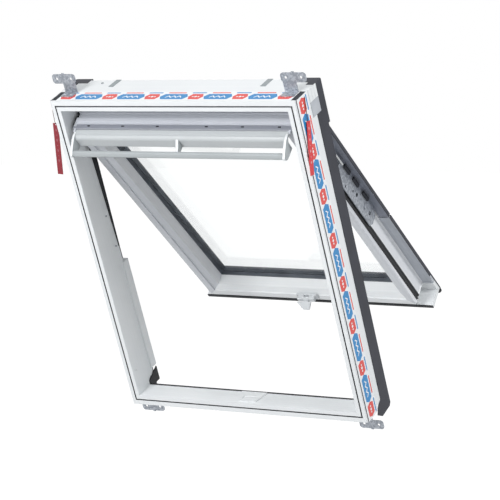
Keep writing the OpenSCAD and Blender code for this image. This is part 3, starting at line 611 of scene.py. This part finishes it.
# %% Flap sheet
LEAF_S, LEAF_TOP, FLAP_T, ROLL_R, ROLL_TOP = SASH_S + 2, SASH_N - 3, 2.5, 12.0, SASH_N - 21.5
FIRST, LAST, TAIL_L = 195, 266, 26.0
NICK_D, NICK_W, NICK_FOOT, NICK_SLOPE, LIP = 1.4, 2.0, 0.5, 0.5, 0.4
FLAP_INSET, PIN_R, PIN_OUT, PIN_IN, PIN_SIDES = 12, 2.5, 6.5, 2, 24
ROLL = (LEAF_S - ROLL_R * math.cos(math.radians(FIRST)), ROLL_TOP - ROLL_R * math.sin(math.radians(FIRST)))
AXLE = (SASH_S + 4, SASH_N - 6)
outer, inner = arc(ROLL, ROLL_R, FIRST, LAST), arc(ROLL, ROLL_R - FLAP_T, LAST, FIRST)
tail = (-TAIL_L * math.sin(math.radians(LAST)), TAIL_L * math.cos(math.radians(LAST)))
leaf = ([(LEAF_S, LEAF_TOP), (LEAF_S, ROLL_TOP + NICK_W + NICK_SLOPE), (LEAF_S + NICK_D, ROLL_TOP + NICK_W),
         (LEAF_S + NICK_D, ROLL_TOP + NICK_FOOT)]
        + outer + [(s + tail[0], n + tail[1]) for s, n in (outer[-1], inner[0])]
        + inner + [(LEAF_S + FLAP_T + LIP, LEAF_TOP)])
left_x, right_x = SASH_X + FLAP_INSET, FRAME_W - SASH_X - FLAP_INSET
pin = arc(AXLE, PIN_R, 0, 360 - 360 / PIN_SIDES, PIN_SIDES - 1)
sheet = drawn("flap_sheet", [(left_x, right_x, leaf), (left_x - PIN_OUT, left_x + PIN_IN, pin),
                             (right_x - PIN_IN, right_x + PIN_OUT, pin)], flap_lacquer)
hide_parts("vent_flap")

# %% Flap plates
# The plates' corners are places down the sash and outwards, in millimetres.
PLATE_OUT, PLATE_IN, MID_HALF = 3, 4, 4
end_plate = [(44.5, 42), (44, 30), (46, 18), (52, 4), (58, -10), (66, -24.5), (75, -23.5), (81, -16), (83, -4),
             (83, 22), (57, 23.5), (50, 30), (49, 42)]
mid_plate = [(53, 25.5), (51.6, 24.2), (49.5, 22), (66.6, -3.4), (76.7, -10.9), (79, -4), (79, 22), (57, 23.5)]
middle = FRAME_W / 2
plates = drawn("flap_plates", [(left_x - PLATE_OUT, left_x + PLATE_IN, end_plate),
                               (right_x - PLATE_IN, right_x + PLATE_OUT, end_plate),
                               (middle - MID_HALF, middle + MID_HALF, mid_plate)], pvc_moulded)
# The plates' faces that look across the window get the bar's grey as painted shade; the rest stay white.
plates.data.materials.append(bar_lacquer_and_plate_shade)
for face in plates.data.polygons:
    face.material_index = int(abs(face.normal.x) > 0.5)

# %% [markdown]
# ## A tree that makes rows
# Print, screw heads and tag marks are all the same shape at equal steps along a line. One Geometry Nodes tree
# makes such a row: a line of points, a copy of the shape on each, turned the same way, then real geometry
# with one finish. Its named inputs are the row's sizes.

# %% Rows tree
rows = bpy.data.node_groups.new("row_of_shapes", "GeometryNodeTree")
INPUTS = {}
for label, kind in (("Start", "Vector"), ("Step", "Vector"), ("Count", "Int"), ("Turn", "Vector"),
                    ("Shape", "Object"), ("Finish", "Material")):
    socket = rows.interface.new_socket(name=label, in_out="INPUT", socket_type="NodeSocket" + kind)
    INPUTS[label] = socket.identifier
rows.interface.new_socket(name="Row", in_out="OUTPUT", socket_type="NodeSocketGeometry")
given = node(rows, "NodeGroupInput")
line = node(rows, "GeometryNodeMeshLine", {"Count": given.outputs["Count"],
                                           "Start Location": given.outputs["Start"],
                                           "Offset": given.outputs["Step"]}, mode="OFFSET")
shape = node(rows, "GeometryNodeObjectInfo", {"Object": given.outputs["Shape"]}, transform_space="ORIGINAL")
turned = node(rows, "FunctionNodeEulerToRotation", {0: given.outputs["Turn"]})
copies = node(rows, "GeometryNodeInstanceOnPoints", {"Points": line.outputs["Mesh"],
                                                     "Instance": shape.outputs["Geometry"],
                                                     "Rotation": turned.outputs[0]})
solid_row = node(rows, "GeometryNodeRealizeInstances", {"Geometry": copies.outputs[0]})
dressed = node(rows, "GeometryNodeSetMaterial", {"Geometry": solid_row.outputs[0],
                                                 "Material": given.outputs["Finish"]})
node(rows, "NodeGroupOutput", {"Row": dressed.outputs[0]})
print("row inputs", list(INPUTS))


# %% Thin plates
def slab(name, outlines, low_mm, high_mm):
    """Thin closed plates from flat outlines in millimetres."""
    made = bmesh.new()
    for outline in outlines:
        base = [made.verts.new((u / 1000, v / 1000, low_mm / 1000)) for u, v in outline]
        top = [made.verts.new((u / 1000, v / 1000, high_mm / 1000)) for u, v in outline]
        made.faces.new(base[::-1])
        made.faces.new(top)
        for i in range(len(outline)):
            j = (i + 1) % len(outline)
            made.faces.new((base[i], base[j], top[j], top[i]))
    bmesh.ops.recalc_face_normals(made, faces=made.faces[:])
    mesh = bpy.data.meshes.new(name)
    made.to_mesh(mesh)
    made.free()
    thing = bpy.data.objects.new(name, mesh)
    bpy.context.collection.objects.link(thing)
    return thing


print("outlines in millimetres become thin plates")


# %% Rows as plain meshes
def row_mesh(start, step, count, turn, shape, finish):
    """Evaluates the tree once and returns the row as a mesh."""
    carrier = bpy.data.objects.new("row_carrier", bpy.data.meshes.new("row_carrier"))
    bpy.context.collection.objects.link(carrier)
    modifier = carrier.modifiers.new("row", "NODES")
    modifier.node_group = rows
    for label, value in (("Start", start), ("Step", step), ("Turn", turn)):
        modifier[INPUTS[label]] = tuple(float(v) for v in value)
    modifier[INPUTS["Count"]] = int(count)
    modifier[INPUTS["Shape"]] = shape
    modifier[INPUTS["Finish"]] = finish
    graph = bpy.context.evaluated_depsgraph_get()
    mesh = bpy.data.meshes.new_from_object(carrier.evaluated_get(graph))
    carrier.modifiers.clear()
    bpy.data.objects.remove(carrier)
    return mesh


def piece_of_rows(name, finish, body, slot, *row_list):
    """Joins rows of one finish to one piece that rides on a body."""
    joined = bmesh.new()
    for row in row_list:
        mesh = row_mesh(*row, finish)
        joined.from_mesh(mesh)
        bpy.data.meshes.remove(mesh)
    mesh = bpy.data.meshes.new(name)
    joined.to_mesh(mesh)
    joined.free()
    mesh.materials.append(finish)
    for face in mesh.polygons:
        face.material_index = 0
    piece = bpy.data.objects.new(name, mesh)
    bpy.context.collection.objects.link(piece)
    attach(piece, body)
    print(name, len(mesh.polygons), "faces")
    return piece


print("rows join to one piece for each finish")

# %% [markdown]
# ## Print on the tape
# The tape is printed in blue and red: long blue lozenges with a white zigzag, short red ones with dots, and a row
# of dashes near the outer edge. An ink could be a mask in the film's material, but geometry keeps its edges sharp
# in every view. Each ink lies a twentieth of a millimetre proud of the film, so it never shimmers.

# %% Print shapes
BLUE_L, RED_L, BLOCK_H, UNIT, END_GAP = 88.0, 46.0, 33.0, 142.0, 4.0
BLUE_DASH_L, RED_DASH_L, DASH_H, DASH_TIP = 46.0, 58.0, 5.5, 2.0
TAPE_GAP, PRINT_N, DASH_N, INK = 18.0, 30.0, 54.0, 0.05


def lozenge(length, height, tip):
    """A bar with pointed ends, whose points are as long as tip."""
    a, b = length / 2, height / 2
    return [(-a, 0), (-a + tip, -b), (a - tip, -b), (a, 0), (a - tip, b), (-a + tip, b)]


def zigzag(length, rise, width, folds):
    """A folded band along a line."""
    step = length / folds
    upper = [(-length / 2 + i * step, (rise if i % 2 else -rise) + width / 2) for i in range(folds + 1)]
    return upper + [(u, v - width) for u, v in reversed(upper)]


def dot(u, radius):
    """A round dot on the line, as a ten-sided shape."""
    return [(u + radius * math.cos(i * math.pi / 5), radius * math.sin(i * math.pi / 5)) for i in range(10)]


blue_block = slab("blue_block", [lozenge(BLUE_L, BLOCK_H, 9.0)], -INK, INK)
red_block = slab("red_block", [lozenge(RED_L, BLOCK_H, 7.0)], -INK, INK)
white_zigzag = slab("white_zigzag", [zigzag(50.0, 4.5, 5.0, 6)], 0.0, 2 * INK)
white_dots = slab("white_dots", [dot(-9, 2.8), dot(0, 4.2), dot(9, 2.8)], 0.0, 2 * INK)
blue_dash = slab("blue_dash", [lozenge(BLUE_DASH_L, DASH_H, DASH_TIP)], -INK, INK)
red_dash = slab("red_dash", [lozenge(RED_DASH_L, DASH_H, DASH_TIP)], -INK, INK)
print("print repeats about every", UNIT, "mm")

# %% Print rows on the four sides
PRINTED_SIDES = [
    ((TAPE_GAP, 0.0), (1, 0), FRAME_W - 2 * TAPE_GAP, turn_of(across, -down)),
    ((TAPE_GAP, FRAME_H), (1, 0), FRAME_W - 2 * TAPE_GAP, turn_of(across, down)),
    ((0.0, 0.0), (0, 1), FRAME_H, turn_of(down, -across)),
    ((FRAME_W, 0.0), (0, 1), FRAME_H, turn_of(down, across))]
blues, reds, blue_dashes, red_dashes = [], [], [], []
for (x, s), (dx, ds), length, turn in PRINTED_SIDES:
    run = length - RED_L - 2 * END_GAP
    count = round(run / UNIT)
    step = run / count
    stride = window.to_3x3() @ Vector((dx * step, ds * step, 0))

    def spot(along, n):
        return window @ Vector((x + dx * along, s + ds * along, n))

    first = RED_L / 2 + END_GAP
    reds.append((spot(first, PRINT_N), stride, count + 1, turn))
    blues.append((spot(first + step / 2, PRINT_N), stride, count, turn))
    red_dashes.append((spot(first + step / 2, DASH_N), stride, count, turn))
    blue_dashes.append((spot(first, DASH_N), stride, count + 1, turn))
piece_of_rows("tape_print_blue", blue_ink, "frame", "printed_film",
              *[(*row, blue_block) for row in blues], *[(*row, blue_dash) for row in blue_dashes])
piece_of_rows("tape_print_red", red_ink, "frame", "printed_film",
              *[(*row, red_block) for row in reds], *[(*row, red_dash) for row in red_dashes])
piece_of_rows("tape_print_white", white_film, "frame", "printed_film",
              *[(*row, white_zigzag) for row in blues], *[(*row, white_dots) for row in reds])
for shape_used in (blue_block, red_block, white_zigzag, white_dots, blue_dash, red_dash):
    bpy.data.objects.remove(shape_used)

# %% [markdown]
# ## Screw heads
# The construction model holds these screws as plain pins. A real pan head is domed, with a cross
# recess. The head is a small profile spun round, and a dark cross paints the shade in the recess. There is a
# row of two on each bracket foot and of two on each jamb. The head cover has one capped screw near its left end.


# %% Domes
def spun(name, profile, segments=24):
    """Closed dome from a profile of radius and height in millimetres."""
    made = bmesh.new()
    rings = []
    for radius, height in profile[:-1]:
        rings.append([made.verts.new((radius / 1000 * math.cos(2 * math.pi * i / segments),
                                      radius / 1000 * math.sin(2 * math.pi * i / segments),
                                      height / 1000)) for i in range(segments)])
    tip = made.verts.new((0, 0, profile[-1][1] / 1000))
    made.faces.new(rings[0][::-1])
    for low, high in zip(rings, rings[1:]):
        for i in range(segments):
            j = (i + 1) % segments
            made.faces.new((low[i], low[j], high[j], high[i])).smooth = True
    for i in range(segments):
        made.faces.new((rings[-1][i], rings[-1][(i + 1) % segments], tip)).smooth = True
    bmesh.ops.recalc_face_normals(made, faces=made.faces[:])
    mesh = bpy.data.meshes.new(name)
    made.to_mesh(mesh)
    made.free()
    thing = bpy.data.objects.new(name, mesh)
    bpy.context.collection.objects.link(thing)
    return thing


pan_head = spun("pan_head", [(4, 0), (4, 0.5), (3.6, 1.5), (2.7, 2.2), (1.4, 2.48), (0, 2.5)])
small_head = spun("small_head", [(3, 0), (3, 0.3), (2.6, 1.0), (1.6, 1.4), (0, 1.5)])
print("head of", len(pan_head.data.polygons), "and small head of", len(small_head.data.polygons), "faces")

# %% Bracket screw heads
FOOT_T, SCREW_X, SCREW_PITCH, SCREW_N = 2.5, 30.0, 20.0, 40.0
BAR, HALF, RECESS_D, RECESS_UP, SUNK = 2.1, 0.4, 0.4, 0.06, 0.05
PAN_H, SMALL_H = 2.5, 1.5
cross = [(-BAR, -HALF), (-HALF, -HALF), (-HALF, -BAR), (HALF, -BAR), (HALF, -HALF), (BAR, -HALF),
         (BAR, HALF), (HALF, HALF), (HALF, BAR), (-HALF, BAR), (-HALF, HALF), (-BAR, HALF)]
# The dark cross paints the shade in each screw head's recess.
recess = slab("recess", [cross], -RECESS_D, RECESS_UP)
pair = window.to_3x3() @ Vector((SCREW_PITCH, 0, 0))
bracket_rows, bracket_recess_shades = [], []
for s, facing, lift in ((-FOOT_T, -down, -1), (FRAME_H + FOOT_T, down, 1)):
    for x in (SCREW_X, FRAME_W - SCREW_X - SCREW_PITCH):
        turn = turn_of(across, facing)
        bracket_rows.append((window @ Vector((x, s, SCREW_N)), pair, 2, turn, pan_head))
        bracket_recess_shades.append((window @ Vector((x, s + lift * (PAN_H - SUNK), SCREW_N)), pair, 2, turn, recess))
heads = piece_of_rows("bracket_screw_heads", steel, "frame", "galvanised_steel", *bracket_rows)
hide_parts("bracket_screws")
piece_of_rows("bracket_screw_recesses", recess_shade_steel, "frame", "galvanised_steel", *bracket_recess_shades)

# %% Jamb and cover screw heads
JAMB_X, JAMB_S, JAMB_N, JAMB_STEP = 24.0, 398, 80, (0, 101, 8)
COVER_SCREW = (104.7, 0, 118.5)
jamb_rows, jamb_recess_shades = [], []
jamb_step = window.to_3x3() @ Vector(JAMB_STEP)
for x, facing, lift in ((JAMB_X, across, 1), (FRAME_W - JAMB_X, -across, -1)):
    turn = turn_of(down, facing)
    top = x + lift * (SMALL_H - SUNK)
    jamb_rows.append((window @ Vector((x, JAMB_S, JAMB_N)), jamb_step, 2, turn, small_head))
    jamb_recess_shades.append((window @ Vector((top, JAMB_S, JAMB_N)), jamb_step, 2, turn, recess))
cover_spot = (window @ Vector(COVER_SCREW), (0, 0, 0), 1, turn_of(across, -down), pan_head)
piece_of_rows("cover_screw_head", clip_plastic, "frame", "grey_plastic", cover_spot)
heads = piece_of_rows("jamb_screw_heads", steel, "frame", "galvanised_steel", *jamb_rows)
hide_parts("jamb_screws")
piece_of_rows("jamb_screw_recesses", recess_shade_steel, "frame", "galvanised_steel", *jamb_recess_shades)
for shape_used in (pan_head, small_head, recess):
    bpy.data.objects.remove(shape_used)

# %% [markdown]
# ## Marks on the tags
# Each red tag carries a row of small arrows and dots, pale on the right tag and dull on the dark left one. The
# tags' places in the window come from the construction model, so the marks lie on them in every view.

# %% Tag marks
TAG_T, ARROW_AT, DOT_AT, MARK_STEP = 0.8, 20, 35, 30
LEFT_TAG_AT, LEFT_SWING, LEFT_LEAN = (-24.5, 82, 32), 5, -9
RIGHT_TAG_AT, RIGHT_LEAN = (-2.9, 72.6, 34.7), -16.2
tag_left = (window @ Matrix.Translation(LEFT_TAG_AT) @ Matrix.Rotation(math.radians(LEFT_SWING), 4, "Z")
            @ Matrix.Rotation(math.radians(LEFT_LEAN), 4, "X"))
tag_right = (window @ Matrix.Translation((FRAME_W, 0, 0)) @ Matrix.Scale(-1, 4, (1, 0, 0))
             @ Matrix.Translation(RIGHT_TAG_AT) @ Matrix.Rotation(math.radians(RIGHT_LEAN), 4, "X")
             @ Matrix.Rotation(math.radians(-90), 4, "Y"))
tag_arrow = slab("tag_arrow", [[(-5, -3), (0, -3), (5, 0), (0, 3), (-5, 3), (-1.5, 0)]], -INK, INK)
tag_dot = slab("tag_dot", [dot(0, 1.6)], -INK, INK)
pale_ink = film("pale_ink_on_film", "D69A9C", "E2AEB0", 0.42)
dull_ink = film("dull_ink_on_film", "98505A", "A45C66", 0.42)
for side, tag, level, sign, ink in (("left", tag_left, 0.0, -1, dull_ink),
                                    ("right", tag_right, TAG_T, 1, pale_ink)):
    along = (tag.to_3x3() @ Vector((0, 1, 0))).normalized()
    facing = (tag.to_3x3() @ Vector((0, 0, sign))).normalized()
    turn = turn_of(along, facing)
    stride = tag.to_3x3() @ Vector((0, MARK_STEP, 0))
    piece_of_rows("tag_marks_" + side, ink, "frame", "red_film",
                  (tag @ Vector((0, ARROW_AT, level)), stride, 4, turn, tag_arrow),
                  (tag @ Vector((0, DOT_AT, level)), stride, 3, turn, tag_dot))
bpy.data.objects.remove(tag_arrow)
bpy.data.objects.remove(tag_dot)
